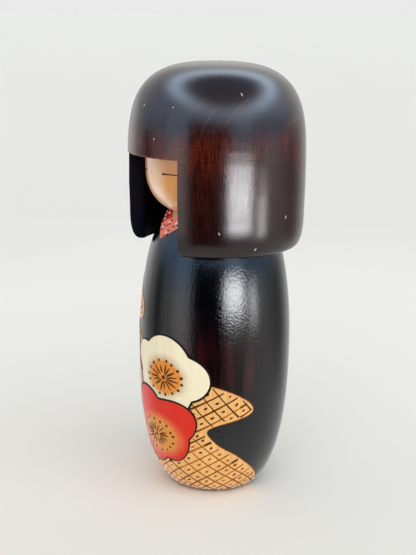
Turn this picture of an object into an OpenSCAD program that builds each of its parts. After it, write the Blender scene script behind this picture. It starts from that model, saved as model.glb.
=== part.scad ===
// Kokeshi doll: a turned wooden body, and a head that turns on it. The head is a
// turned face block under a hollow hair cap with a window cut into its front.
// Millimetres, +Z up, the doll faces -Y, origin at the centre of the base.

/* [Body] */
// Height of the flat top of the neck
body_height = 180.5; // [178:0.5:184]
// Height of the widest part of the belly
belly_height = 97.5; // [85:0.5:110]
// Radius at the widest part of the belly
belly_radius = 48.2; // [44:0.1:50]
// Radius at which the belly curve reaches the ground
base_radius = 24; // [22:0.5:32]
// Radius of the softened edge around the base
base_edge = 3; // [1:0.2:5]
// Height at which the neck leaves the belly curve
shoulder_height = 162.4; // [158:0.2:163]
// Radius of the flat top of the neck
neck_radius = 29; // [24:0.5:32]

/* [Face] */
// Height of the widest part of the face block
face_height = 211; // [205:0.5:216]
// Radius of the face block
face_radius = 44.5; // [42:0.1:45]
// Gap between the neck and the chin
chin_gap = 0.5; // [0.3:0.1:1]

/* [Hair] */
// Height of the crown, which is the height of the whole doll
crown_height = 270.5; // [262:0.5:280]
// Radius of the hair at its widest
hair_radius = 55.4; // [53:0.1:60]
// Height of the lower rim of the hair
rim_height = 157.9; // [155:0.1:162]
// Radius of the hollow in the hair
hollow_radius = 47; // [46:0.1:48]
// Height of the flat ceiling of the hollow
ceiling_height = 236; // [232:0.5:242]
// Width of the window in front of the face
window_width = 64.6; // [50:0.2:70]
// How far the lock on the doll's left leans into the window at the rim
lock_lean = 2.2; // [0:0.2:6]
// Height of the lower edge of the bangs
bangs_height = 215.8; // [208:0.1:222]

/* [Joints] */
// Radius of the peg that the head turns on
peg_radius = 9; // [6:0.5:12]
// Radial clearance of the peg in the neck socket
peg_clearance = 0.05; // [0.02:0.01:0.1]
// Length of the peg inside the body
peg_drop = 34; // [25:1:45]
// Length of the peg inside the face block
peg_rise = 22; // [15:1:30]
// Radius of the dowel between the face block and the hair
dowel_radius = 7; // [5:0.5:9]
// Length of the dowel on each side of the joint
dowel_reach = 16; // [10:1:20]

/* [Hidden] */
$fn = 96;
steps = 26;

// The belly curve above the widest part aims at this point, just past the shoulder
crest_height = shoulder_height + 0.9;
crest_radius = 38.4;
chin_height = body_height + chin_gap;
face_drop = 35.4;
face_round = 2.8;
face_edge = 9;
hollow_edge = 7;
waist_height = 195;
rim_radius = hair_radius - 0.4;
rim_rise = 21.4;
rim_land = 1;
socket_spare = 1.5;
hole_spare = 0.5;
reach = 100;

// Falls from 1 at t = 0 to 0 at t = 1, full when p and q are large
function fall(t, p, q) = pow(max(0, 1 - pow(t, p)), 1 / q);

// What the softened base edge takes off the radius at height z
function edge_cut(z) =
    z < base_edge ? base_edge - sqrt(pow(base_edge, 2) - pow(base_edge - z, 2)) : 0;

function lower_radius(z) =
    base_radius + (belly_radius - base_radius) * fall(1 - z / belly_height, 2.6, 1.85);

function upper_radius(z) =
    crest_radius + (belly_radius - crest_radius)
    * fall((z - belly_height) / (crest_height - belly_height), 1.8, 1.46);

// One quarter of a superellipse with half axes a and b, from (0, b) to (a, 0)
function quarter(a, b, n, m) =
    [for (i = [0:steps]) [a * pow(sin(90 * i / steps), 2 / n), b * pow(cos(90 * i / steps), 2 / m)]];

function shifted(points, x, y) = [for (p = points) p + [x, y]];

module turned(outline) {
    rotate_extrude() polygon(outline);
}

module body() {
    lower = [for (i = [0:steps]) let (z = belly_height * (1 - cos(90 * i / steps)))
        [lower_radius(z) - edge_cut(z), z]];
    upper = [for (i = [1:steps]) let (
            z = belly_height + (shoulder_height - belly_height) * sin(90 * i / steps))
        [upper_radius(z), z]];
    color("#16181d") difference() {
        turned(concat([[0, 0]], lower, upper, [[neck_radius, body_height], [0, body_height]]));
        translate([0, 0, body_height - peg_drop - socket_spare])
            cylinder(r = peg_radius + peg_clearance, h = reach);
    }
}

module neck_peg() {
    color("#d9b98a") translate([0, 0, body_height - peg_drop])
        cylinder(r = peg_radius, h = peg_drop + chin_gap + peg_rise);
}

module face_block() {
    jaw = [for (p = quarter(face_radius, face_drop, face_round, face_round))
        if (face_height - p[1] > chin_height) [p[0], face_height - p[1]]];
    chin_radius = face_radius * fall((face_height - chin_height) / face_drop, face_round, face_round);
    scalp = shifted(quarter(face_edge, face_edge, 2, 2),
        face_radius - face_edge, ceiling_height - face_edge);
    color("#cf9459") difference() {
        turned(concat([[0, chin_height], [chin_radius, chin_height]], jaw,
            [for (i = [steps:-1:0]) scalp[i]], [[0, ceiling_height]]));
        translate([0, 0, chin_height - hole_spare]) cylinder(r = peg_radius, h = peg_rise + hole_spare);
        translate([0, 0, ceiling_height - dowel_reach]) cylinder(r = dowel_radius, h = reach);
    }
}

module crown_dowel() {
    color("#d9b98a") translate([0, 0, ceiling_height - dowel_reach])
        cylinder(r = dowel_radius, h = 2 * dowel_reach);
}

// How far the edge on the doll's left is from the middle of the window at height z: the lock
// there leans in over the height of the rounded rim
function leaning_edge(z) = window_width / 2
    - lock_lean * pow(max(0, 1 - (z - rim_height) / rim_rise), 1.55);

module window() {
    side = window_width / 2;
    lean = [for (i = [0:steps]) let (z = rim_height + rim_rise * i / steps) [leaning_edge(z), z]];
    rotate([90, 0, 0]) linear_extrude(reach) polygon(concat(
        [[-side, 0], [leaning_edge(rim_height), 0]], lean,
        [[side, bangs_height], [-side, bangs_height]]));
}

module hair_cap() {
    dome = shifted(quarter(hair_radius, crown_height - waist_height, 2.88, 4.1), 0, waist_height);
    lip = rim_radius - hollow_radius - rim_land;
    rim = [for (p = quarter(lip, rim_rise, 2.6, 2.6))
        [hollow_radius + rim_land + p[0], rim_height + rim_rise - p[1]]];
    hollow = shifted(quarter(hollow_edge, hollow_edge, 2, 2),
        hollow_radius - hollow_edge, ceiling_height - hollow_edge);
    color("#33201f") difference() {
        turned(concat(dome, [for (i = [steps:-1:0]) rim[i]], [[0, rim_height]]));
        turned(concat([[0, 0], [0, ceiling_height]], hollow, [[hollow_radius, 0]]));
        window();
        translate([0, 0, ceiling_height - hole_spare])
            cylinder(r = dowel_radius, h = dowel_reach + hole_spare);
    }
}

body();
neck_peg();
face_block();
crown_dowel();
hair_cap();
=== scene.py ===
"""Looks of the kokeshi doll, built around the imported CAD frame. Metres, +Z up, the doll faces -Y.

The painted work is laid out on the unrolled body. A place there is (a, z) in millimetres: z is the
height, and a is the distance round the belly from the front centre line, positive towards the
doll's left side (+X).
"""
import math
import random

import bmesh
import bpy
import numpy as np
from mathutils import Matrix, Vector
from mathutils.bvhtree import BVHTree
from mathutils.geometry import delaunay_2d_cdt


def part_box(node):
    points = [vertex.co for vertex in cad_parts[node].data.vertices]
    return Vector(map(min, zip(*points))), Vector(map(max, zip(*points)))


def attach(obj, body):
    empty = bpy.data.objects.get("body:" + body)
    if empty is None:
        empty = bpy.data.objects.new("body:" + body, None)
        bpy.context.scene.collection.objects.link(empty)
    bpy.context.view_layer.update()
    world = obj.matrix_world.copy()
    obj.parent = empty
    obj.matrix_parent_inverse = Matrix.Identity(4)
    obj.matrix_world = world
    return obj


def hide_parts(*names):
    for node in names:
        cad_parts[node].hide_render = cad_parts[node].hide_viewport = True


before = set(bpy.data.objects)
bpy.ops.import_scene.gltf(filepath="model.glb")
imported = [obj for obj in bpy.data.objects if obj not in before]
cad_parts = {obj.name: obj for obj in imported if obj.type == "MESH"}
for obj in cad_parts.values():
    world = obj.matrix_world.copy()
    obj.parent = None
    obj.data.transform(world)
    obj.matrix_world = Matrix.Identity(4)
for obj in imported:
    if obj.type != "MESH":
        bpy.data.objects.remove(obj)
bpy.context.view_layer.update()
rng = random.Random(7)

MM = 0.001
ROUND = 48.0          # the radius, in mm, that turns an angle on the body into the distance a
WINDOW = 32.3         # half the width of the window in the hair, as in the CAD part
LEAN = 2.2            # how far the lock on the doll's left leans into the window at the rim
LEAN_RISE = 21.4      # height above the rim at which that lock stands upright
LEAN_POWER = 1.55     # how fast its edge curves in towards the rim
BANGS = 215.8         # height of the lower edge of the bangs
HOLLOW = 47.0         # radius of the hollow in the hair
HOLLOW_EDGE = 7.0     # radius of the rounded edge round the ceiling of the hollow
SOCKET = 9.05         # radius of the socket in the neck
SOCKET_SPARE = 1.5    # depth of the socket below the end of the neck peg


# ---------------- turned outlines

class Outline:
    """The outer outline of a turned CAD node, made smooth through the node's own rings.

    domed keeps the pole of a rounded top.
    """

    def __init__(self, node, domed=False, step=0.2):
        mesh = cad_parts[node].data
        corners = [v.co for v in mesh.vertices]
        tree = BVHTree.FromPolygons(corners, [tuple(p.vertices) for p in mesh.polygons])
        widest = {}
        for v in mesh.vertices:
            z = round(v.co.z, 6)
            widest[z] = max(widest.get(z, 0.0), math.hypot(v.co.x, v.co.y))
        points, near = [], 0.05 * MM
        for z, r in sorted(widest.items()):
            hit = tree.ray_cast(Vector((0, 1, z)), Vector((0, -1, 0)))[0]
            if r < near / 5 or (hit is not None and abs(hit.y - r) < near):
                points.append((r / MM, z / MM))
        low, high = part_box(node)
        top, bottom = high[2] / MM, low[2] / MM
        points = [p for p in points if p[0] > 1 or domed and p[1] > top - 0.01]
        self.points = self.smooth(np.array(points), step)
        self.bottom, self.top = bottom, top

    @staticmethod
    def smooth(p, step):
        """A Catmull-Rom curve through p, resampled every step mm."""
        ends = np.vstack([2 * p[0] - p[1], p, 2 * p[-1] - p[-2]])
        knots = np.concatenate([[0], np.cumsum(np.linalg.norm(np.diff(ends, axis=0), axis=1) ** 0.5)])
        out = []
        for i in range(1, len(ends) - 2):
            t0, t1, t2, t3 = knots[i - 1:i + 3]
            count = max(2, int(np.linalg.norm(ends[i + 1] - ends[i]) / step) + 1)
            t = np.linspace(t1, t2, count, endpoint=False)[:, None]
            a1 = (t1 - t) / (t1 - t0) * ends[i - 1] + (t - t0) / (t1 - t0) * ends[i]
            a2 = (t2 - t) / (t2 - t1) * ends[i] + (t - t1) / (t2 - t1) * ends[i + 1]
            a3 = (t3 - t) / (t3 - t2) * ends[i + 1] + (t - t2) / (t3 - t2) * ends[i + 2]
            b1 = (t2 - t) / (t2 - t0) * a1 + (t - t0) / (t2 - t0) * a2
            b2 = (t3 - t) / (t3 - t1) * a2 + (t - t1) / (t3 - t1) * a3
            out.append((t2 - t) / (t2 - t1) * b1 + (t - t1) / (t2 - t1) * b2)
        out.append(p[-1:])
        return np.vstack(out)

    def radius(self, z):
        return float(np.interp(z, self.points[:, 1], self.points[:, 0]))

    def rows(self, spacing, low=None, high=None):
        """(radius, height) points every spacing mm along the outline, between two heights."""
        low = self.points[0, 1] if low is None else low
        high = self.points[-1, 1] if high is None else high
        inside = (self.points[:, 1] > low + 1e-6) & (self.points[:, 1] < high - 1e-6)
        p = np.vstack([[self.radius(low), low], self.points[inside], [self.radius(high), high]])
        run = np.concatenate([[0], np.cumsum(np.linalg.norm(np.diff(p, axis=0), axis=1))])
        at = np.linspace(0, run[-1], max(2, round(run[-1] / spacing)) + 1)
        return np.column_stack([np.interp(at, run, p[:, 0]), np.interp(at, run, p[:, 1])])

    def place(self, angle, z, lift=0.0):
        """The point at an angle and a height, lifted along the surface normal, and that normal."""
        h = 0.4
        slope = (self.radius(z + h) - self.radius(z - h)) / (2 * h)
        out = Vector((math.sin(angle), -math.cos(angle), -slope)).normalized()
        r = self.radius(z)
        return Vector((r * math.sin(angle), -r * math.cos(angle), z)) * MM + out * lift * MM, out


body_line = Outline("body")
face_line = Outline("face_block")
hair_line = Outline("hair_cap", domed=True)
neck_top = body_line.top
chin = face_line.bottom
ceiling = face_line.top
crown = hair_line.top
rim = hair_line.bottom


# ---------------- mesh helpers

def add_object(name, data):
    added = bpy.data.objects.new(name, data)
    bpy.context.scene.collection.objects.link(added)
    return added


def finish_mesh(name, bm, body, materials, sharp=35):
    """Turns a bmesh into a smooth-shaded piece that rides on a CAD body."""
    bmesh.ops.recalc_face_normals(bm, faces=bm.faces)
    mesh = bpy.data.meshes.new(name)
    bm.to_mesh(mesh)
    bm.free()
    for material in materials:
        mesh.materials.append(material)
    mesh.shade_smooth()
    mesh.set_sharp_from_angle(angle=math.radians(sharp))
    piece = add_object(name, mesh)
    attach(piece, body)
    return piece


def circle(bm, r, z, angles):
    """Points at a radius and a height in mm, one at each angle from the front."""
    return [bm.verts.new((r * MM * math.sin(t), -r * MM * math.cos(t), z * MM)) for t in angles]


def bridge(bm, rows, closed=True, material=0):
    """Joins each row of points to the next with faces. A row of one point is a pole."""
    for low, high in zip(rows, rows[1:]):
        count = max(len(low), len(high))
        for i in range(count if closed else count - 1):
            j = (i + 1) % count
            corners = [low[i % len(low)], low[j % len(low)], high[j % len(high)], high[i % len(high)]]
            bm.faces.new(list(dict.fromkeys(corners))).material_index = material


def revolve(bm, profile, columns):
    """Spins a (radius, height) profile in mm about Z. A radius of zero makes a pole."""
    turns = [2 * math.pi * i / columns for i in range(columns)]
    bridge(bm, [circle(bm, r, z, turns) if r > 1e-4 else [bm.verts.new((0, 0, z * MM))]
                for r, z in profile])


def curve(points, step=0.8):
    """A smooth curve through 2-D control points, resampled about every step mm."""
    p = np.array(points, float)
    p = np.vstack([2 * p[0] - p[1], p, 2 * p[-1] - p[-2]])
    out = []
    for i in range(1, len(p) - 2):
        count = max(1, int(np.linalg.norm(p[i + 1] - p[i]) / step))
        for t in np.arange(count) / count:
            out.append(0.5 * (2 * p[i] + (p[i + 1] - p[i - 1]) * t
                              + (2 * p[i - 1] - 5 * p[i] + 4 * p[i + 1] - p[i + 2]) * t ** 2
                              + (3 * p[i] - p[i - 1] - 3 * p[i + 1] + p[i + 2]) * t ** 3))
    out.append(p[-2])
    return [tuple(q) for q in out]


def inside(points, outline):
    """Which of the points lie inside a closed outline."""
    x, y = np.array(points, float).T
    ax, ay = np.array(outline, float).T
    bx, by = np.roll(ax, -1), np.roll(ay, -1)
    result = np.zeros(len(x), bool)
    for i in range(len(ax)):
        if ay[i] == by[i]:
            continue
        crossing = (ay[i] > y) != (by[i] > y)
        result ^= crossing & (x < (bx[i] - ax[i]) * (y - ay[i]) / (by[i] - ay[i]) + ax[i])
    return result


def clearance(points, outline):
    """Distance from each point to the nearest corner of a finely divided outline."""
    gaps = np.array(points)[:, None, :] - np.array(outline)[None, :, :]
    return np.sqrt((gaps ** 2).sum(axis=2)).min(axis=1)


def on_body(a, z, lift=0.0):
    return body_line.place(a / ROUND, z, lift)


def on_face(a, z):
    return face_line.place(a / ROUND, z)


def patch(name, outline, lift, material, spacing=1.6):
    """A thin closed skin of paint or bare wood that follows the body inside an outline."""
    low, high = np.min(outline, axis=0), np.max(outline, axis=0)
    row_gap, sunk = 0.866 * spacing, -0.25
    grid = [(x + (0.5 * spacing if j % 2 else 0), y)
            for j, y in enumerate(np.arange(low[1], high[1], row_gap))
            for x in np.arange(low[0], high[0], spacing)]
    grid = [g for g, keep, gap in zip(grid, inside(grid, outline), clearance(grid, outline))
            if keep and gap > 0.6 * spacing]
    corners = [Vector(p) for p in outline] + [Vector(p) for p in grid]
    ring = [(i, (i + 1) % len(outline)) for i in range(len(outline))]
    flat, _, faces = delaunay_2d_cdt(corners, ring, [], 1, 1e-5)[:3]
    bm = bmesh.new()
    top = [bm.verts.new(on_body(p.x, p.y, lift)[0]) for p in flat]
    bottom = [bm.verts.new(on_body(p.x, p.y, sunk)[0]) for p in flat]
    uses = {}
    for f in faces:
        bm.faces.new([top[i] for i in f])
        bm.faces.new([bottom[i] for i in reversed(f)])
        for i, j in zip(f, f[1:] + f[:1]):
            uses[(i, j)] = True
    for i, j in uses:
        if (j, i) not in uses:
            bm.faces.new([top[j], top[i], bottom[i], bottom[j]])
    finish_mesh(name, bm, "body", [material])


class Strokes:
    """Brush or burned strokes on a turned surface, gathered into one piece."""

    SUNK = -0.2       # where the hidden side of a stroke lies, in mm from the surface

    def __init__(self, place=on_body):
        self.bm = bmesh.new()
        self.place = place

    def line(self, points, width, lift, closed=False):
        """A raised line along (a, z) points. width is in mm, a number or a function of 0 to 1 along it."""
        edge, flat = lift - 0.03, 0.55
        section = ((-1, self.SUNK), (-1, edge), (-flat, lift), (flat, lift), (1, edge), (1, self.SUNK))
        spots = [self.place(a, z) for a, z in points]
        count = len(spots)
        rings = []
        for i, (spot, normal) in enumerate(spots):
            before = spots[(i - 1) % count][0] if closed or i else spot
            after = spots[(i + 1) % count][0] if closed or i < count - 1 else spot
            side = normal.cross(after - before).normalized()
            w = (width(i / (count - 1)) if callable(width) else width) * MM / 2
            rings.append([self.bm.verts.new(spot + side * s * w + normal * h * MM) for s, h in section])
        bridge(self.bm, rings + rings[:1] if closed else rings)
        if not closed:
            self.bm.faces.new(rings[0][::-1])
            self.bm.faces.new(rings[-1])

    def dot(self, a, z, size, lift, stretch=1.0, turn=0.0, sides=10):
        """A small rounded dab. size is its radius in mm, stretch lengthens it along the angle turn."""
        spot, normal = self.place(a, z)
        across = Vector((0, 0, 1)).cross(normal).normalized()
        along = normal.cross(across)
        rings = []
        for grow, h in ((1.0, self.SUNK), (1.0, lift - 0.05), (0.6, lift)):
            ring = []
            for k in range(sides):
                t = 2 * math.pi * k / sides
                x, y = size * grow * stretch * math.cos(t), size * grow * math.sin(t)
                u, v = x * math.cos(turn) - y * math.sin(turn), x * math.sin(turn) + y * math.cos(turn)
                ring.append(self.bm.verts.new(spot + (across * u + along * v) * MM + normal * h * MM))
            rings.append(ring)
        bridge(self.bm, rings)
        self.bm.faces.new(rings[0][::-1])
        self.bm.faces.new(rings[-1])

    def piece(self, name, body, slot, material):
        finish_mesh(name, self.bm, body, [material], sharp=50)


# ---------------- materials

class Nodes:
    """A node tree and a short way to add nodes to it."""

    def __init__(self, tree):
        self.tree = tree

    def put(self, node, values):
        for key, value in values.items():
            socket = node.inputs[key if isinstance(key, int) else key.replace("_", " ")]
            if isinstance(value, bpy.types.NodeSocket):
                self.tree.links.new(value, socket)
            elif isinstance(value, tuple) and len(value) == 3 and socket.type == "RGBA":
                socket.default_value = (*value, 1.0)
            else:
                socket.default_value = value

    def node(self, kind, inputs=None, **settings):
        node = self.tree.nodes.new("ShaderNode" + kind)
        for key, value in settings.items():
            setattr(node, key, value)
        self.put(node, inputs or {})
        return node

    def place(self):
        return self.node("TexCoord").outputs["Object"]

    def math(self, operation, first, second=0.0, third=None):
        inputs = {0: first, 1: second}
        if third is not None:
            inputs[2] = third
        return self.node("Math", inputs, operation=operation).outputs[0]

    def times(self, value, *others):
        for other in others:
            value = self.math("MULTIPLY", value, other)
        return value

    def plus(self, value, *others):
        for other in others:
            value = self.math("ADD", value, other)
        return value

    def hypot(self, x, y):
        return self.math("SQRT", self.plus(self.times(x, x), self.times(y, y)))

    def offset(self, value, centre, unit):
        """How many units a value lies from the centre."""
        return self.math("DIVIDE", self.math("SUBTRACT", value, centre), unit)

    def bell(self, value, centre, width):
        """1 at the centre, falling to 1/e at width on either side."""
        t = self.offset(value, centre, width)
        return self.math("EXPONENT", self.times(t, t, -1.0))

    def grey(self, value):
        return self.node("CombineXYZ", {0: value, 1: value, 2: value}).outputs[0]

    def noise(self, scale, stretch=(1, 1, 1), detail=4.0, rough=0.55, where=None):
        mapped = self.node("Mapping", {"Vector": where or self.place(), "Scale": stretch}).outputs[0]
        return self.node("TexNoise", {"Vector": mapped, "Scale": scale, "Detail": detail,
                                      "Roughness": rough}).outputs["Fac"]

    def ramp(self, value, *stops):
        """A colour ramp between two (position, colour) stops."""
        node = self.node("ValToRGB", {"Fac": value})
        for element, (position, colour) in zip(node.color_ramp.elements, stops):
            element.position = position
            element.color = (*colour, 1.0)
        return node.outputs["Color"]

    def range(self, value, low, high, out_low=0.0, out_high=1.0):
        """A smooth step from out_low, where value is low, to out_high, where it is high."""
        return self.node("MapRange", {"Value": value, "From Min": low, "From Max": high, "To Min": out_low,
                                      "To Max": out_high}, interpolation_type="SMOOTHSTEP").outputs[0]

    def mix(self, factor, first, second, blend="MIX"):
        node = self.node("Mix", data_type="RGBA", blend_type=blend)
        self.put(node, {0: factor, 6: first, 7: second})
        return node.outputs[2]

    def angle(self, x, y):
        """The angle round the doll's axis from its front, in radians."""
        return self.math("ARCTAN2", x, self.times(y, -1.0))

    def unrolled(self):
        """The (a, z) place in mm on the unrolled body."""
        x, y, z = self.node("SeparateXYZ", {"Vector": self.place()}).outputs[:3]
        return self.times(self.angle(x, y), ROUND), self.times(z, 1 / MM)

    def lathe(self, scale):
        """Fine turned lines: they follow the height on an upright side and the radius on a flat one."""
        drawn_out = 0.0025
        x, y, z = self.node("SeparateXYZ", {"Vector": self.place()}).outputs[:3]
        turn = self.times(self.angle(x, y), drawn_out)
        where = self.node("CombineXYZ", {0: self.hypot(x, y), 1: turn, 2: z}).outputs[0]
        return self.noise(scale, (1, 1, 1), 3, 0.6, where=where)

    def bump(self, height, strength, distance):
        return self.node("Bump", {"Height": height, "Strength": strength, "Distance": distance}).outputs[0]


class Graph(Nodes):
    """The nodes of a new material."""

    def __init__(self, name, **shader):
        self.material = bpy.data.materials.new(name)
        self.material.use_nodes = True
        super().__init__(self.material.node_tree)
        self.shader = self.tree.nodes["Principled BSDF"]
        self.put(self.shader, shader)

    def done(self, **shader):
        self.put(self.shader, shader)
        return self.material


def lacquer():
    """Satin black lacquer over turned wood, thin enough in places for the red-brown ground to show."""
    g = Graph("black_lacquer", IOR=1.5)
    black, ground = (0.0012, 0.0014, 0.0028), (0.165, 0.020, 0.015)
    a, z = g.unrolled()
    streaks = g.noise(170, (1, 1, 0.06), 5, 0.6)
    pebbles = g.noise(820, (1, 1, 0.8), 3, 0.6)
    thin = g.times(g.bell(a, 57.0, 21.0), g.bell(z, 93.0, 26.0))
    patchy = g.range(g.noise(30, (1, 1, 0.35), 3), 0.35, 0.7, 0.15, 1.0)
    worn = g.times(thin, patchy, g.range(streaks, 0.36, 0.7))
    scattered = g.times(g.range(g.noise(22, (1, 1, 0.3), 3), 0.6, 0.8),
                        g.range(streaks, 0.45, 0.75, 0.0, 0.25))
    colour = g.mix(g.math("MAXIMUM", worn, scattered), black, ground)
    height = g.plus(g.times(streaks, 0.12), g.times(pebbles, 0.88))
    return g.done(Base_Color=colour, Roughness=g.range(pebbles, 0.3, 0.7, 0.09, 0.13),
                  Normal=g.bump(height, 0.55, 0.0003))


def rings(g, pith, spacing, wobble):
    """Growth rings of an upright trunk: each ring rises from 0 to 1. Lengths are in metres."""
    mapped = g.node("Mapping", {"Vector": g.place(), "Location": (-pith[0], -pith[1], 0.0)}).outputs[0]
    x, y = g.node("SeparateXYZ", {"Vector": mapped}).outputs[:2]
    drift = g.times(g.math("SUBTRACT", g.noise(14, (1, 1, 0.35), 2), 0.5), wobble)
    return g.math("FRACT", g.math("DIVIDE", g.plus(g.hypot(x, y), drift), spacing))


def stained_wood():
    """The hair: dark red-brown stain that lets the grain through, under satin varnish."""
    g = Graph("stained_wood", IOR=1.5)
    stain, crown_stain, red = (0.0080, 0.0008, 0.0006), (0.0230, 0.0100, 0.0055), (0.170, 0.017, 0.004)
    vein_brown, rubbed_brown = (0.16, 0.060, 0.040), (0.21, 0.052, 0.032)
    fibres = g.noise(1300, (1, 1, 0.07), 4, 0.6)
    coarse = g.noise(420, (1, 1, 0.08), 3, 0.6)
    lathe = g.lathe(1500)
    grit = g.noise(1250, (1, 1, 1), 2, 0.6)
    cloud = g.noise(60, (1, 1, 0.6), 3)
    a, z = g.unrolled()

    # How much red shows: most in a band above the bangs, less down the sides
    band = g.times(g.range(z, 200.0, 219.0), g.range(z, 238.0, 222.0), 0.60)
    side = g.times(g.range(z, 160.0, 200.0, 0.08, 0.34), g.range(z, 242.0, 223.0, 0.06, 0.92))
    show = g.times(g.range(fibres, 0.32, 0.66, 0.22, 1.0), g.range(lathe, 0.34, 0.62, 0.48, 1.0),
                   g.range(coarse, 0.36, 0.62, 0.60, 1.0), g.range(cloud, 0.38, 0.62, 0.35, 1.0),
                   g.plus(side, band))
    crown_part = g.times(g.range(z, 226.0, 244.0), g.range(z, 262.0, 250.0))
    colour = g.mix(show, g.mix(crown_part, stain, crown_stain), red)

    # Broken veins of the growth rings on the shoulder of the dome, clearest on the doll's left
    ring = rings(g, (-0.0175, -0.0142), 0.0042, 0.005)
    vein = g.times(g.range(ring, 0.80, 0.92), g.range(ring, 1.0, 0.94))
    dome = g.times(g.range(z, 230.0, 238.0), g.range(z, 254.0, 249.0),
                   g.range(g.noise(55, (1, 1, 1), 2), 0.44, 0.56))
    left = g.times(g.range(a, 28.0, 48.0, 0.25, 1.0), g.range(a, 112.0, 94.0, 0.25, 1.0))
    colour = g.mix(g.times(vein, dome, left, 0.28), colour, vein_brown)

    # The stain is rubbed off the lower edge of the bangs
    rubbed = g.times(g.range(z, BANGS + 1.6, BANGS + 0.2), g.range(z, BANGS - 1.0, BANGS - 0.2),
                     g.range(g.math("ABSOLUTE", a), 36.0, 30.0),
                     g.range(g.noise(190, (1, 1, 0.7), 3), 0.42, 0.62, 0.0, 0.85))
    colour = g.mix(rubbed, colour, rubbed_brown)
    height = g.plus(g.times(fibres, 0.40), g.times(lathe, 0.30), g.times(grit, 0.30))
    return g.done(Base_Color=colour, Roughness=g.range(fibres, 0.3, 0.7, 0.17, 0.23),
                  Normal=g.bump(height, 0.34, 0.0003))


def dark_coat(name, deep, light, shine):
    """Matt blue-black paint, for the hollow of the hair and for the faces cut round the window."""
    g = Graph(name, IOR=1.45, Specular_IOR_Level=shine)
    brush = g.noise(150, (1, 1, 0.15), 4, 0.6)
    return g.done(Base_Color=g.ramp(brush, (0.35, deep), (0.7, light)),
                  Roughness=g.range(brush, 0.3, 0.7, 0.5, 0.65), Normal=g.bump(brush, 0.2, 0.0003))


def pale_wood(name, light, dark, coat=0.15):
    """Varnished pale wood with fine upright grain and faint growth rings."""
    g = Graph(name, IOR=1.5, Coat_Weight=coat, Coat_Roughness=0.12)
    fibres = g.noise(240, (1, 1, 0.05), 5, 0.6)
    ring = g.math("POWER", rings(g, (0.06, 0.09), 0.0045, 0.008), 2.5)
    tone = g.plus(g.times(fibres, 0.75), g.times(ring, 0.28))
    colour = g.ramp(tone, (0.3, light), (0.78, dark))
    rough = g.range(fibres, 0.3, 0.7, 0.29, 0.39)
    return g, colour, {"Roughness": rough, "Normal": g.bump(tone, 0.12, 0.0003)}


def face_wood():
    """The face: warm varnished wood with a faint blush by the eyes, a painted highlight that makes it paler
    down the middle, and lighter towards the bangs.
    """
    g, colour, finish = pale_wood("face_wood", (0.80, 0.325, 0.054), (0.71, 0.272, 0.042), coat=0.5)
    blush, pale, tan = (0.75, 0.22, 0.16), (1.0, 0.70, 0.50), (0.95, 0.52, 0.30)
    a, z = g.unrolled()
    side = g.math("ABSOLUTE", a)
    colour = g.mix(g.times(g.bell(side, 15.0, 9.0), g.bell(z, 208.5, 4.0), 0.4), colour, blush)
    # Painted highlight: the colour is paler down the middle of the face
    colour = g.mix(g.range(side, 18.0, 3.0, 0.0, 0.85), colour, pale)
    colour = g.mix(g.range(z, 204.0, 217.0, 0.0, 0.4), colour, tan)
    return g.done(Base_Color=colour, **finish)


def bare_wood(name, light, dark):
    g, colour, finish = pale_wood(name, light, dark)
    return g.done(Base_Color=colour, **finish)


def petal_paint(name, edge, halo, heart, hub, spread, inner, outer, ragged=0.10):
    """Petal paint: a heart colour round the hub that fades through a halo to the edge colour.

    spread is the pair of half axes, in mm, of the oval on which the stamens end. The heart colour
    holds out to inner times that oval, and the edge colour starts at outer times.
    """
    g = Graph(name, IOR=1.48, Specular_IOR_Level=0.3)
    stroke_brown = (0.25, 0.13, 0.06)
    a, z = g.unrolled()
    wander = g.times(g.math("SUBTRACT", g.noise(210, (1, 1, 1), 3), 0.5), ragged * 2)
    reach = g.plus(g.hypot(g.offset(a, hub[0], spread[0]), g.offset(z, hub[1], spread[1])), wander)
    brush = g.noise(170, (1, 1, 0.12), 4, 0.6)
    wood = g.noise(240, (1, 1, 0.05), 4, 0.6)
    colour = g.mix(g.range(reach, inner, inner + 0.35 * (outer - inner)), heart, halo)
    colour = g.mix(g.range(reach, inner, outer), colour, edge)
    colour = g.mix(g.range(brush, 0.35, 0.75, 0.0, 0.10), colour, stroke_brown)
    return g.done(Base_Color=colour, Roughness=g.range(brush, 0.3, 0.7, 0.3, 0.4),
                  Normal=g.bump(g.plus(brush, wood), 0.08, 0.0003))


def line_paint(name, light, dark, rough=0.4, shine=0.3):
    """Brushed or burned line colour that varies along its length."""
    g = Graph(name, IOR=1.48, Specular_IOR_Level=shine)
    tone = g.noise(120, (1, 1, 1), 3, 0.5)
    fleck = g.noise(900, (1, 1, 1), 2, 0.5)
    colour = g.ramp(tone, (0.35, dark), (0.68, light))
    return g.done(Base_Color=colour, Roughness=g.range(fleck, 0.3, 0.7, rough - 0.05, rough + 0.08),
                  Normal=g.bump(fleck, 0.15, 0.0001))


LACQUER = lacquer()
HAIR = stained_wood()
# The hollow's copy of the black paint is darker and less shiny than the cut faces' copy: painted shade
# inside the hair
SHADED_HOLLOW_PAINT = dark_coat("hollow_paint_in_shade", (0.0006, 0.0008, 0.0022), (0.0018, 0.0022, 0.0056), 0.03)
CUT_PAINT = dark_coat("cut_paint", (0.0038, 0.0038, 0.0105), (0.0070, 0.0068, 0.0175), 0.12)
FACE = face_wood()
BARE = bare_wood("bare_wood", (0.97, 0.525, 0.165), (0.80, 0.385, 0.105))
DOWEL = bare_wood("dowel_wood", (0.74, 0.52, 0.28), (0.55, 0.34, 0.15))


# ---------------- turned pieces

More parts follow.
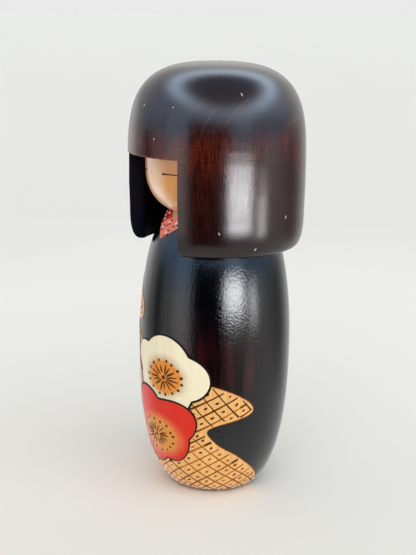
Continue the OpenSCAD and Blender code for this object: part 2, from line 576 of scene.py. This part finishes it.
def make_body():
    """The turned body with its flat underside, its neck and the socket that the head's peg turns in."""
    floor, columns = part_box("neck_peg")[0][2] / MM - SOCKET_SPARE, 192
    foot = body_line.points[0, 0]
    profile = [(r, 0.0) for r in np.linspace(0, foot, 9)[:-1]]
    profile += [tuple(p) for p in body_line.rows(1.1)]
    profile += [(r, neck_top) for r in np.linspace(body_line.radius(neck_top), SOCKET, 8)[1:]]
    profile += [(SOCKET, z) for z in np.linspace(neck_top, floor, 8)[1:]] + [(0.0, floor)]
    bm = bmesh.new()
    revolve(bm, profile, columns)
    for f in bm.faces:
        centre = f.calc_center_median() / MM
        across = math.hypot(centre.x, centre.y)
        f.material_index = int(centre.z < 0.01 or centre.z > neck_top - 0.01 or across < SOCKET + 0.1)
    piece = finish_mesh("painted_body", bm, "body", [LACQUER, BARE])
    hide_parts("body")


def make_face():
    """The face block with its bores for the neck peg and the crown dowel."""
    peg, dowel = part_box("neck_peg"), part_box("crown_dowel")
    peg_radius, peg_top, dowel_radius = peg[1][0] / MM, peg[1][2] / MM, dowel[1][0] / MM
    columns = 160
    profile = [(0.0, peg_top), (peg_radius, peg_top)]
    profile += [(peg_radius, z) for z in np.linspace(peg_top, chin, 6)[1:]]
    profile += [(r, chin) for r in np.linspace(peg_radius, face_line.radius(chin), 7)[1:-1]]
    profile += [tuple(p) for p in face_line.rows(0.9)]
    profile += [(r, ceiling) for r in np.linspace(face_line.radius(ceiling), dowel_radius, 8)[1:]]
    profile += [(dowel_radius, dowel[0][2] / MM), (0.0, dowel[0][2] / MM)]
    bm = bmesh.new()
    revolve(bm, profile, columns)
    piece = finish_mesh("turned_face", bm, "head", [FACE])
    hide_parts("face_block")


def window_angle(r, z=BANGS, lean=0.0):
    """The angle from the front at which radius r meets the side of the window at height z."""
    below = max(0.0, 1 - (z - rim) / LEAN_RISE)
    return math.asin((WINDOW - lean * below ** LEAN_POWER) / r)


def make_hair():
    """The hollow hair cap: dome, bangs and the long hair round the sides and back, open in front."""
    back, front, depth = 168, 40, 4            # faces round the back, round the front, through the wall
    spacing, fillet = 1.3, HOLLOW_EDGE
    outside, paint, cut = 0, 1, 2              # material slots
    bm = bmesh.new()

    def ring(r, z, start, split, front_part):
        """Points from the angle start round the back to -split, and on round the front if wanted."""
        angles = [start + (2 * math.pi - split - start) * i / back for i in range(back + 1)]
        if front_part:
            angles += [-split + 2 * split * i / front for i in range(1, front)]
        return circle(bm, r, z, angles)

    def open_ring(r, z):
        """A ring that the window leaves open, with the lock on the doll's left leaning in."""
        return ring(r, z, window_angle(r, z, LEAN), window_angle(r), False)

    def full_ring(r, z, widest):
        """A closed ring. Its front part is as wide as the window, or widest where that is less."""
        split = min(window_angle(max(r, HOLLOW)), widest)
        return ring(r, z, split, split, True)

    def across(outer, inner):
        """Points straight through the wall, from the outer one to the inner one."""
        a, b = outer.co, inner.co
        return [outer] + [bm.verts.new(a.lerp(b, k / depth)) for k in range(1, depth)] + [inner]

    outer_split = window_angle(hair_line.radius(BANGS))
    inner_split = window_angle(HOLLOW)
    outer_low = [open_ring(r, z) for r, z in hair_line.rows(spacing, high=BANGS)]
    inner_low = [open_ring(HOLLOW, z) for _, z in hair_line.rows(spacing, high=BANGS)]
    bridge(bm, outer_low, False, outside)
    bridge(bm, inner_low, False, paint)
    bridge(bm, [outer_low[0], inner_low[0]], False, outside)
    for end in (0, -1):
        side = [across(outer[end], inner[end]) for outer, inner in zip(outer_low, inner_low)]
        bridge(bm, side, False, cut)

    dome = [full_ring(r, z, outer_split) for r, z in hair_line.rows(spacing, low=BANGS)[:-1]]
    bridge(bm, dome, True, outside)
    bridge(bm, [dome[-1], [bm.verts.new((0, 0, crown * MM))]], True, outside)
    turn = [(HOLLOW - fillet + fillet * math.cos(t), ceiling - fillet + fillet * math.sin(t))
            for t in np.linspace(0, math.pi / 2, 7)]
    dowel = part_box("crown_dowel")[1]
    hollow = [(HOLLOW, z) for z in np.linspace(BANGS, ceiling - fillet, 9)[:-1]] + turn
    hollow += [(r, ceiling) for r in np.linspace(HOLLOW - fillet, dowel[0] / MM, 7)[1:]]
    hollow += [(dowel[0] / MM, dowel[2] / MM)]
    vault = [full_ring(r, z, inner_split) for r, z in hollow]
    bridge(bm, vault, True, paint)
    bm.faces.new(vault[-1]).material_index = paint

    def bangs_edge(row):
        """The front part of a full ring, from one window side to the other."""
        return row[back:] + [row[0]]

    ends = zip(bangs_edge(dome[0]), bangs_edge(vault[0]))
    bridge(bm, [across(outer, inner) for outer, inner in ends], False, cut)
    bmesh.ops.remove_doubles(bm, verts=bm.verts, dist=1e-6)
    bmesh.ops.recalc_face_normals(bm, faces=bm.faces)
    keen, bore, softening = 0.8, 20 * MM, 0.45 * MM
    edges = [e for e in bm.edges if len(e.link_faces) == 2 and e.calc_face_angle_signed() > keen
             and min(math.hypot(v.co.x, v.co.y) for v in e.verts) > bore]
    bmesh.ops.bevel(bm, geom=edges, offset=softening, segments=2, affect="EDGES", clamp_overlap=True)
    materials = [HAIR, SHADED_HOLLOW_PAINT, CUT_PAINT]
    piece = finish_mesh("hair_with_bangs", bm, "head", materials, sharp=50)
    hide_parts("hair_cap")


make_body()
make_face()
make_hair()
for name in ("neck_peg", "crown_dowel"):
    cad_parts[name].material_slots[0].material = DOWEL


# ---------------- painted plum blossoms and lattice

# How far each layer of paint stands out from the lacquer, in mm
LIFT = {"ground": 0.10, "ground_edge": 0.16, "lattice": 0.17, "cream": 0.26, "pink": 0.32, "red": 0.50}


def blossom_outline(hub, lobes, step=2.0):
    """The outline of a blossom. A lobe is (angle of the notch it starts at, radius there, bulge, skew)."""
    points = []
    for i, (angle, radius, bulge, skew) in enumerate(lobes):
        following = lobes[(i + 1) % len(lobes)]
        end = following[0] - (360 if i == len(lobes) - 1 else 0)
        count = round((angle - end) / step)
        for k in range(count):
            t = k / count
            turn = math.radians(angle + (end - angle) * t)
            r = radius + (following[1] - radius) * t + bulge * math.sin(math.pi * t ** skew)
            points.append((hub[0] + r * math.cos(turn), hub[1] + r * math.sin(turn)))
    return points


CREAM_HUB, RED_HUB, PINK_HUB = (16.4, 79.7), (5.8, 39.4), (-46.0, 80.0)
CREAM_OUTLINE = blossom_outline(CREAM_HUB, [
    (126, 24.9, 2.8, 1), (42, 24.2, 8, 1.1), (-32, 23.8, 3, 1.3), (-106, 24, 7, 1), (-178, 25, 7.5, 1)])
RED_OUTLINE = blossom_outline(RED_HUB, [
    (78.6, 25.9, 9.6, 1.5), (3.7, 28.2, 3.2, 1), (-62, 16.6, 1, 1), (-135, 21, 8, 1), (-205, 26, 7, 1)])
PINK_OUTLINE = blossom_outline(PINK_HUB, [
    (78, 29, 5, 1), (5, 31.5, 10, 1), (-60, 30, 7, 1), (-130, 29, 7, 1), (-205, 28, 8, 1)])

FOOT = 0.12           # the bare field runs down to the softened edge of the base

# The bare field that carries the lattice: the arm on the doll's left, the foot, and the arms on its right
FIELD_OUTLINE = (
    curve([(20, 84), (36, 80.5), (49, 77.9), (57, 75.3), (66.6, 70.7), (73.6, 65.7), (76.4, 61.2),
           (74, 58.2), (68, 56), (57, 53.2), (48.5, 50.2), (46, 47.2), (47.9, 43.7), (54.7, 37.3),
           (65.8, 30.7), (80.5, 19.8), (91, 11), (96.5, 5), (98, 1.5)])
    + curve([(97, FOOT), (0, FOOT), (-98, FOOT)], step=1.2)
    + curve([(-99, 1.5), (-97, 6), (-88, 16), (-74, 28), (-60, 40), (-54, 50), (-62, 58), (-78, 64),
             (-88, 74), (-86, 82), (-75, 87), (-60, 92), (-50, 103), (-45, 118), (-40, 136), (-34, 143),
             (-27, 137), (-19, 129), (-12, 124.5), (-8.2, 119), (-8.2, 114.5), (-12.5, 110.9),
             (-20, 109.3), (-27, 107), (-20, 105), (-13.5, 103.3), (-10.2, 99), (-10.6, 92.5), (-15, 86)]))


# Lattice lines that fall towards the doll's left: each k is a constant of a + FALL ln(z + FALL_FROM)
FALL, FALL_FROM = 92.6, 39.8
FALLS = [398 - 13.5 * k for k in range(12, 0, -1)] + [398, 415, 431, 445, 456, 468, 479, 490, 502]

# Lattice lines that climb towards the doll's left: each c is a constant of z - CLIMB a
CLIMB = 0.56
CLIMBS = ([-57, -49.5, -42, -34.5, -26.5, -18.5, -11, -2.8, 5.4, 13.6, 19.5, 25.6, 34, 42.3]
          + [50.6 + 8.4 * k for k in range(14)])

ARM = 48              # height above which the lattice is drawn more heavily


def fall_a(k, z):
    return k - FALL * math.log(z + FALL_FROM)


def runs(points, keep, shortest=3):
    """The stretches of a polyline whose points are kept."""
    out, now = [], []
    for point, good in zip(points, keep):
        if good:
            now.append(point)
        else:
            out.append(now)
            now = []
    return [r for r in out + [now] if len(r) >= shortest]


def open_field(points, margin):
    """Which points lie on the bare field, margin mm inside its edge and clear of the blossoms."""
    edge = [p for p in FIELD_OUTLINE if p[1] > 0.5]
    good = inside(points, FIELD_OUTLINE) & (clearance(points, edge) > margin)
    for flower in (CREAM_OUTLINE, RED_OUTLINE, PINK_OUTLINE):
        good &= ~inside(points, flower)
    return good


def crossing(k, c):
    """Where the falling line k meets the climbing line c, found by damped repetition."""
    a, lowest = 0.0, -30
    for _ in range(40):
        a = 0.6 * a + 0.4 * fall_a(k, max(c + CLIMB * a, lowest))
    return a, c + CLIMB * a


def make_field():
    """The bare wood field and the thin burned line round it."""
    patch("lattice_ground", FIELD_OUTLINE, LIFT["ground"], BARE)
    edge = Strokes()
    for run in runs(FIELD_OUTLINE, [z > 1.0 for _, z in FIELD_OUTLINE]):
        edge.line(run, 0.5, LIFT["ground_edge"])
    edge.piece("lattice_ground_edge", "body", "dark_paint", BROWN_LINE)


def make_lattice():
    """The burned lattice: wavering lines both ways and a short dab in each mesh that has room for one."""
    burned, heavy = Strokes(), Strokes()
    arm_only = 450        # from this constant on, a falling line crosses the arm but not the foot
    lines = [[(fall_a(k, z), z) for z in np.arange(0.6 if k < arm_only else ARM + 2.0, 140, 1.0)]
             for k in FALLS]
    lines += [[(a, c + CLIMB * a) for a in np.arange(-100, 100, 1.1)] for c in CLIMBS]
    for line in lines:
        phase, sway = rng.uniform(0, 9), rng.uniform(0.15, 0.35)
        line = [(a + sway * math.sin(z / 6 + phase), z + 0.4 * sway * math.sin(a / 5 + phase))
                for a, z in line]
        for run in runs(line, open_field(line, 0.9)):
            base, swell = rng.uniform(0.74, 1.0), rng.uniform(0.2, 0.7)
            strokes = heavy if rng.random() < 0.2 or run[0][1] > ARM else burned
            strokes.line(run, lambda t, b=base, w=swell: b + w * (1 - t) ** 2, LIFT["lattice"])
            first = run[::-1] if run[-1][0] > run[0][0] else run
            if strokes is burned and rng.random() < 0.6 and len(first) > 8:
                heavy.line(first[:rng.randint(4, 7)], base + swell, LIFT["lattice"] + 0.04)
    for near, far in zip(FALLS, FALLS[1:]):
        for low, high in zip(CLIMBS, CLIMBS[1:]):
            a, z = crossing((near + far) / 2, (low + high) / 2)
            a, z = a + rng.uniform(-0.7, 0.7), z + rng.uniform(-0.5, 0.5)
            if open_field([(a, z)], 1.7)[0]:
                strokes = heavy if z > ARM or rng.random() < 0.4 else burned
                strokes.dot(a, z, rng.uniform(0.62, 0.80), LIFT["lattice"], rng.uniform(1.5, 2.0),
                            rng.uniform(0.4, 0.8))
    burned.piece("lattice_lines", "body", "dark_paint", BROWN_LINE)
    heavy.piece("lattice_dark_lines", "body", "dark_paint", DARK_LINE)


def make_blossom(name, hub, outline, lift, paint, oval, stamens, turn, thin=0.0, brush=1.0):
    """A painted blossom: petals, a black outline, and a ring of stamens round a dark hub.

    thin is the fraction of the way round at which the outline is thinnest, and brush scales the stamens.
    """
    rise = LIFT[lift]
    patch(name + "_petals", outline, rise, paint)
    edge = Strokes()
    edge.line(outline, lambda t: 0.75 + 0.65 * math.sin(math.pi * (t - thin) % math.pi) ** 2, rise + 0.08,
              closed=True)
    edge.piece(name + "_outline", "body", "dark_paint", BLACK_LINE)
    marks = Strokes()
    for _ in range(4):
        spot = (hub[0] + rng.uniform(-0.5, 0.5), hub[1] + rng.uniform(-0.5, 0.5))
        marks.dot(*spot, rng.uniform(0.8, 1.1), rise + 0.12, rng.uniform(1.1, 1.7), rng.uniform(0, 3))
    for k in range(stamens):
        angle = turn + 2 * math.pi * (k + rng.uniform(-0.16, 0.16)) / stamens
        reach = rng.uniform(0.94, 1.06)
        tip = (oval[0] * reach * math.cos(angle), oval[1] * reach * math.sin(angle))
        start, end = rng.uniform(0.17, 0.32), rng.uniform(0.68, 0.82)
        bend = rng.uniform(-0.25, 0.25)
        stalk = [(hub[0] + tip[0] * t + bend * math.sin(t * 4),
                  hub[1] + tip[1] * t + bend * math.cos(t * 4)) for t in np.linspace(start, end, 7)]
        width = brush * rng.uniform(0.9, 1.35)
        marks.line(stalk, lambda t, w=width: w * (0.55 + 0.6 * math.sin(math.pi * t ** 0.8)), rise + 0.1)
        marks.dot(hub[0] + tip[0], hub[1] + tip[1], brush * rng.uniform(0.82, 1.08), rise + 0.1, 1.2, angle)
    marks.piece(name + "_stamens", "body", "dark_paint", STAMEN_LINE)


OCHRE = (0.81, 0.280, 0.030)
BLACK_LINE = line_paint("black_line", (0.010, 0.006, 0.005), (0.003, 0.002, 0.002), 0.35, 0.15)
DARK_LINE = line_paint("dark_line", (0.17, 0.040, 0.010), (0.050, 0.011, 0.004), shine=0.15)
BROWN_LINE = line_paint("brown_line", (0.48, 0.150, 0.020), (0.22, 0.058, 0.008), shine=0.15)
STAMEN_LINE = line_paint("stamen_line", (0.20, 0.050, 0.006), (0.070, 0.016, 0.003), shine=0.15)
CREAM = petal_paint("cream_paint", (0.98, 0.885, 0.635), (0.68, 0.52, 0.31), OCHRE, (16.2, 80.2),
                    (13.9, 11.4), 0.84, 1.5, ragged=0.16)
RED = petal_paint("red_paint", (0.77, 0.018, 0.005), (0.82, 0.21, 0.060), (0.78, 0.31, 0.045), (8.5, 39.6),
                  (16.5, 11.5), 0.88, 1.5)
PINK = petal_paint("pink_paint", (0.80, 0.35, 0.28), (0.66, 0.36, 0.18), OCHRE, PINK_HUB,
                   (15, 12), 0.9, 1.6)

make_field()
make_lattice()
make_blossom("cream_blossom", CREAM_HUB, CREAM_OUTLINE, "cream", CREAM,
             (13.6, 11.0), 15, 0.2, thin=0.9)
make_blossom("pink_blossom", PINK_HUB, PINK_OUTLINE, "pink", PINK, (14.0, 11.5), 15, 0.1)
make_blossom("red_blossom", RED_HUB, RED_OUTLINE, "red", RED, (16.0, 10.5), 17, 0.1,
             thin=0.35, brush=0.9)


# ---------------- collar and face

NEAR_BAND = (
    curve([(-16.6, 171.0), (-10.6, 172.9), (-5.5, 174.5), (-0.3, 175.9), (4.2, 176.7), (7.5, 177.5),
           (13, 179.2), (18, 180.3)])
    + curve([(40, 180.35), (150, 180.35)], step=2)
    + curve([(150, 178.2), (60, 178), (36, 176.2), (24, 173.8), (14, 170.9), (9.5, 168.7), (4.9, 166.5),
             (0.8, 164.6), (-2, 163.4)])
    + curve([(-5.9, 165.4), (-10.5, 168), (-15.5, 170.6)]))
FAR_BAND = (
    curve([(-0.3, 175.9), (-2.5, 178.1), (-4.6, 179.7), (-5.2, 180.3)])
    + curve([(-20, 180.35), (-150, 180.35)], step=2)
    + curve([(-150, 178.2), (-60, 178), (-36, 176.2), (-24, 173.6), (-16.6, 170.9)])
    + curve([(-10.6, 172.8), (-5.5, 174.4)]))
NECK_SKIN = [(-0.3, 175.7), (-2.6, 177.9), (-5.4, 180.3), (18, 180.3), (13, 179), (7.5, 177.2), (4, 176.4)]


def make_collar():
    """The crossed collar, its dots, the bare neck that shows above it, and painted shadow lines along the
    inner edges of the bands.
    """
    neck = []
    for (a, z), (b, y) in zip(NECK_SKIN, NECK_SKIN[1:] + NECK_SKIN[:1]):
        count = max(1, int(math.hypot(b - a, y - z)))
        neck += [(a + (b - a) * k / count, z + (y - z) * k / count) for k in range(count)]
    neck_lift, far_lift, near_lift = 0.06, 0.12, 0.22
    # The neck skin takes the darker neck wood: painted shade under the chin
    patch("neck_skin", neck, neck_lift, SHADED_NECK_WOOD, spacing=1.1)
    # Painted shade and light: the far band takes a darker red, the near band a pinker salmon
    patch("collar_right_band", FAR_BAND, far_lift, SHADED_COLLAR_RED, spacing=1.5)
    patch("collar_left_band", NEAR_BAND, near_lift, COLLAR_SALMON, spacing=1.5)
    shadow = Strokes()
    # Painted shadows: dark lines along the far band's inner edge and where the near band lies over it
    shadow.line(curve([(-0.1, 176.1), (-2.3, 178.2), (-4.4, 179.8)]), 0.7, 0.16)
    shadow.line(curve([(-16.4, 171.2), (-10.6, 173.2), (-5.5, 174.9), (-0.3, 176.4)]), 0.35, 0.17)
    dots = Strokes()
    spots = [(0.3, 173.5), (2.3, 167.6), (-9.2, 178), (-13.2, 173.9), (10.5, 173.9), (-8, 169.6),
             (18, 176.6), (27, 178.6), (-21, 177.6), (-30, 178.9), (38, 178.9), (-17.5, 175.8),
             (50, 179.2), (-44, 179.2)]
    for a, z in spots:
        a, z = a + rng.uniform(-0.2, 0.2), z + rng.uniform(-0.1, 0.1)
        dots.dot(a, z, 0.95, 0.36, 1.05)
        for x, y, tilt in ((2.2, 1.3, 0.2), (1.9, -1.1, 0.35), (-1.6, -2.2, 0.25)):
            shadow.dot(a + x + rng.uniform(-0.2, 0.2), z + y, 0.48, 0.33, 2.3, tilt)
    shadow.piece("collar_marks", "body", "dark_paint", BLACK_LINE)
    dots.piece("collar_dots", "body", "cream_paint", WHITE)


def make_face_marks():
    """Two closed eyes, thicker at their inner ends, and a small nose mark."""
    eyes, nose = Strokes(on_face), Strokes(on_face)
    inner, outer, level = 11, 33, 205.3
    for side in (-1, 1):
        lid = [(side * a, level + 0.25 * math.sin((a - inner) / 8)) for a in np.linspace(inner, outer, 26)]
        eyes.line(lid, lambda t: 0.62 + 0.6 * math.exp(-(t / 0.14) ** 2), 0.12)
    nose.dot(-2.1, 204.9, 0.42, 0.10, 3.0)
    eyes.piece("closed_eyes", "head", "dark_paint", BLACK_LINE)
    nose.piece("nose_dot", "head", "red_paint", COLLAR_SALMON)


def make_hair_chips():
    """Small bruises and chips where the stain has come off the hair."""
    chips = Strokes(lambda a, z: hair_line.place(a / ROUND, z))
    half_width, unit = 0.42, 0.7
    for azimuth, z, length, tilt in (
            (2.9, 245.7, 1.7, 1.0), (30.2, 245.9, 0.9, 0.6), (17.8, 227.2, 1.2, 0.8),
            (77, 253.7, 1.9, 1.9), (61.9, 174.1, 1.6, 2.1), (85.8, 163.7, 1.7, 0.9),
            (108.9, 181.1, 1.7, 1.6), (146, 205, 1.3, 0.4), (205, 176, 1.5, 1.2),
            (262, 232, 1.2, 2.4), (312, 168, 1.4, 1.0)):
        chips.dot(math.radians(azimuth) * ROUND, z, half_width, 0.06, length / unit, tilt, sides=8)
    chips.piece("hair_chips", "head", "dowel_wood", CHIP)


# The bare neck is the body's own wood, darker than BARE: painted shade under the chin and the hair
SHADED_NECK_WOOD = bare_wood("neck_wood_in_shade", (0.60, 0.33, 0.10), (0.42, 0.19, 0.05))
# The collar's two reds are a shaded and a lit copy: the far band's darker red is painted shade under the
# chin and hair, and the near band's pinker salmon is painted light. The nose dot shares the salmon.
SHADED_COLLAR_RED = line_paint("collar_red_in_shade", (0.70, 0.030, 0.006), (0.54, 0.019, 0.004), 0.42, 0.15)
COLLAR_SALMON = line_paint("collar_salmon", (0.95, 0.285, 0.185), (0.86, 0.19, 0.125), 0.42)
WHITE = line_paint("white_dots", (0.88, 0.85, 0.78), (0.74, 0.70, 0.62), 0.45)
CHIP = line_paint("bare_chips", (0.72, 0.60, 0.42), (0.40, 0.28, 0.17), 0.6)

make_collar()
make_face_marks()
make_hair_chips()


# ---------------- camera, floor and light

AIM = 60.0            # the camera looks from this azimuth, with the doll's left side towards it
DISTANCE = 0.6818     # metres from the doll's axis to the camera
EYE = 0.3009          # height of the camera in metres
PITCH, PAN, ROLL = 13.70, 0.397, 0.578     # degrees that it looks down, and its two small turns


def heading(azimuth, elevation=0.0):
    """The unit vector towards an azimuth and elevation in degrees."""
    turn, rise = math.radians(azimuth), math.radians(elevation)
    return Vector((math.sin(turn) * math.cos(rise), -math.cos(turn) * math.cos(rise), math.sin(rise)))


def make_camera():
    data = bpy.data.cameras.new("camera")
    data.sensor_width = 36
    data.lens = 71.35
    camera = add_object("camera", data)
    camera.matrix_world = (Matrix.Translation(heading(AIM) * DISTANCE + Vector((0, 0, EYE)))
                           @ Matrix.Rotation(math.radians(AIM + PAN), 4, "Z")
                           @ Matrix.Rotation(math.radians(90 - PITCH), 4, "X")
                           @ Matrix.Rotation(math.radians(ROLL), 4, "Z"))
    bpy.context.scene.camera = camera


def make_floor():
    """A plain pale floor with painted light: brighter round and beyond the doll, where its shadow falls,
    and darker farther off.
    """
    bright, pale = (0.912, 0.910, 0.865), (0.845, 0.838, 0.803)
    bm = bmesh.new()
    bmesh.ops.create_grid(bm, x_segments=8, y_segments=8, size=60)
    mesh = bpy.data.meshes.new("floor")
    bm.to_mesh(mesh)
    bm.free()
    g = Graph("pale_floor", Specular_IOR_Level=0.05)
    # Painted light: the floor colour is brightest round a point beyond the doll and darker with distance
    # from it
    beyond = heading(AIM + 180) * 0.28
    across = g.node("VectorMath", {0: g.place(), 1: beyond}, operation="DISTANCE").outputs["Value"]
    painted_light_reach = g.math("MULTIPLY_ADD", g.noise(3, (1, 1, 1), 2), 0.3, across)
    colour = g.ramp(painted_light_reach, (0.40, bright), (0.80, pale))
    mesh.materials.append(g.done(Base_Color=colour, Roughness=0.7))
    floor = add_object("floor", mesh)
    floor.visible_glossy = False


def strip_light(name, azimuth, distance, height, size, power, colour):
    """An upright area light that faces the doll's axis and is seen only in reflections."""
    data = bpy.data.lights.new(name, "AREA")
    data.shape = "RECTANGLE"
    data.size, data.size_y = size
    data.energy = power
    data.color = colour
    light = add_object(name, data)
    light.visible_camera = False
    light.visible_diffuse = False
    light.location = heading(azimuth) * distance + Vector((0, 0, height))
    light.rotation_euler = (math.radians(90), 0, math.radians(azimuth))


def make_daylight():
    """Broad daylight from the front right, soft enough to leave hardly a shadow."""
    data = bpy.data.lights.new("daylight", "SUN")
    data.energy = 1.3
    data.angle = math.radians(80)
    light = add_object("daylight", data)
    light.rotation_euler = heading(AIM + 24, 46).to_track_quat("Z", "Y").to_euler()
    light.visible_glossy = False


# Upright panes in the mirrored room, in degrees from the camera's azimuth and from level:
# left, right, low, high, width of the soft edge, and how many times as bright as the walls
PANES = (
    (-36.5, 17, -32, 15, 5, 0.0), (17, 46, -28, -15, 8, 0.25), (-108, -91, -24, 3, 8, 0.12),
    (101, 131, -21, 0, 9, 0.5), (-126, -110, -19, -7, 8, 0.55), (-69, -39, -18, 30, 9, 1.75),
    (-62, -41, -13, 1, 9, 1.35), (60, 84, -9, 2, 9, 1.7), (-152, -127, -8, 9, 9, 1.55),
    (22, 46, 5, 22, 8, 1.5), (55, 112, 14, 42, 12, 1.2), (118, 152, 0, 14, 10, 1.25),
    (84, 118, -19, 8, 10, 0.82), (-170, -95, 12, 46, 14, 0.82), (66, 128, -33, -19, 10, 1.05),
    (20, 130, -60, -33, 12, 1.1), (-172, -112, -50, -21, 12, 1.5))


def make_world():
    """A soft, even white room. What the glossy surfaces mirror is its pale walls under a ring of
    cool ceiling light, with darker and lighter panes where its furniture, doors and corners are."""
    cool_light, warm_white, sky_blue = (0.79, 1.0, 1.26), (1.0, 1.0, 0.98), (0.72, 1.12, 1.68)
    world = bpy.data.worlds.new("studio")
    bpy.context.scene.world = world
    world.use_nodes = True
    world.cycles.sampling_method = "NONE"
    g = Nodes(world.node_tree)
    direction = g.node("TexCoord").outputs["Generated"]

    def along(vector):
        return g.node("VectorMath", {0: direction, 1: vector}, operation="DOT_PRODUCT").outputs["Value"]

    def degrees(angle):
        return g.times(angle, math.degrees(1))

    ahead, side, up = along(heading(AIM)), along(heading(AIM + 90)), along(Vector((0, 0, 1)))
    turn = degrees(g.math("ARCTAN2", side, ahead))
    rise = degrees(g.math("ARCSINE", up))

    def pane(left, right, low, high, soft):
        """1 inside an upright rectangle of the room, falling to 0 over soft degrees round it."""
        h = soft / 2
        return g.times(g.range(turn, left - h, left + h), g.range(turn, right + h, right - h),
                       g.range(rise, low - h, low + h), g.range(rise, high + h, high - h))

    # The ring of ceiling light, pulled in and brighter at its sides
    overhead = degrees(g.math("ARCCOSINE", along(heading(AIM + 32, 76))))
    across = g.times(side, side)
    strength = g.plus(g.times(across, g.math("MULTIPLY_ADD", side, -1.6, 5.8)),
                      g.math("MULTIPLY_ADD", ahead, -0.75, 2.5))
    ring = g.times(g.bell(g.math("MULTIPLY_ADD", across, 7.0, overhead), 49.0, 9.5), strength)

    # The walls, darker overhead and brighter high up on the side away from the camera
    flanks = g.times(g.range(rise, 8.0, 20.0), g.range(ahead, 0.5, 0.0))
    walls = g.times(g.range(overhead, 30.0, 56.0, 0.42, 1.0), 0.84,
                    g.math("MULTIPLY_ADD", flanks, 0.42, 1.0))
    for *place, gain in PANES:
        walls = g.times(walls, g.math("MULTIPLY_ADD", pane(*place), gain - 1.0, 1.0))
    high_ahead = g.times(g.range(rise, -5.0, 8.0), g.range(ahead, -0.8, 0.1))
    wall_colour = g.mix(1.0, g.mix(high_ahead, warm_white, sky_blue), g.grey(walls), "MULTIPLY")
    mirrored = g.mix(1.0, wall_colour, g.mix(1.0, cool_light, g.grey(ring), "MULTIPLY"), "ADD")

    glossy = g.node("LightPath").outputs["Is Glossy Ray"]
    plain = g.range(rise, 24.0, 5.0, 0.61, 0.82)
    g.put(g.tree.nodes["Background"], {"Color": g.mix(glossy, g.grey(plain), mirrored), "Strength": 1.0})


make_camera()
make_floor()
make_world()
strip_light("window", AIM + 27.8, 0.35, 0.136, (0.172, 0.085), 0.88, (0.95, 0.96, 1.0))
strip_light("window_edge", AIM + 56, 0.35, 0.111, (0.058, 0.08), 0.150, (0.98, 0.97, 1.0))
make_daylight()
bpy.context.scene.view_settings.view_transform = "Standard"
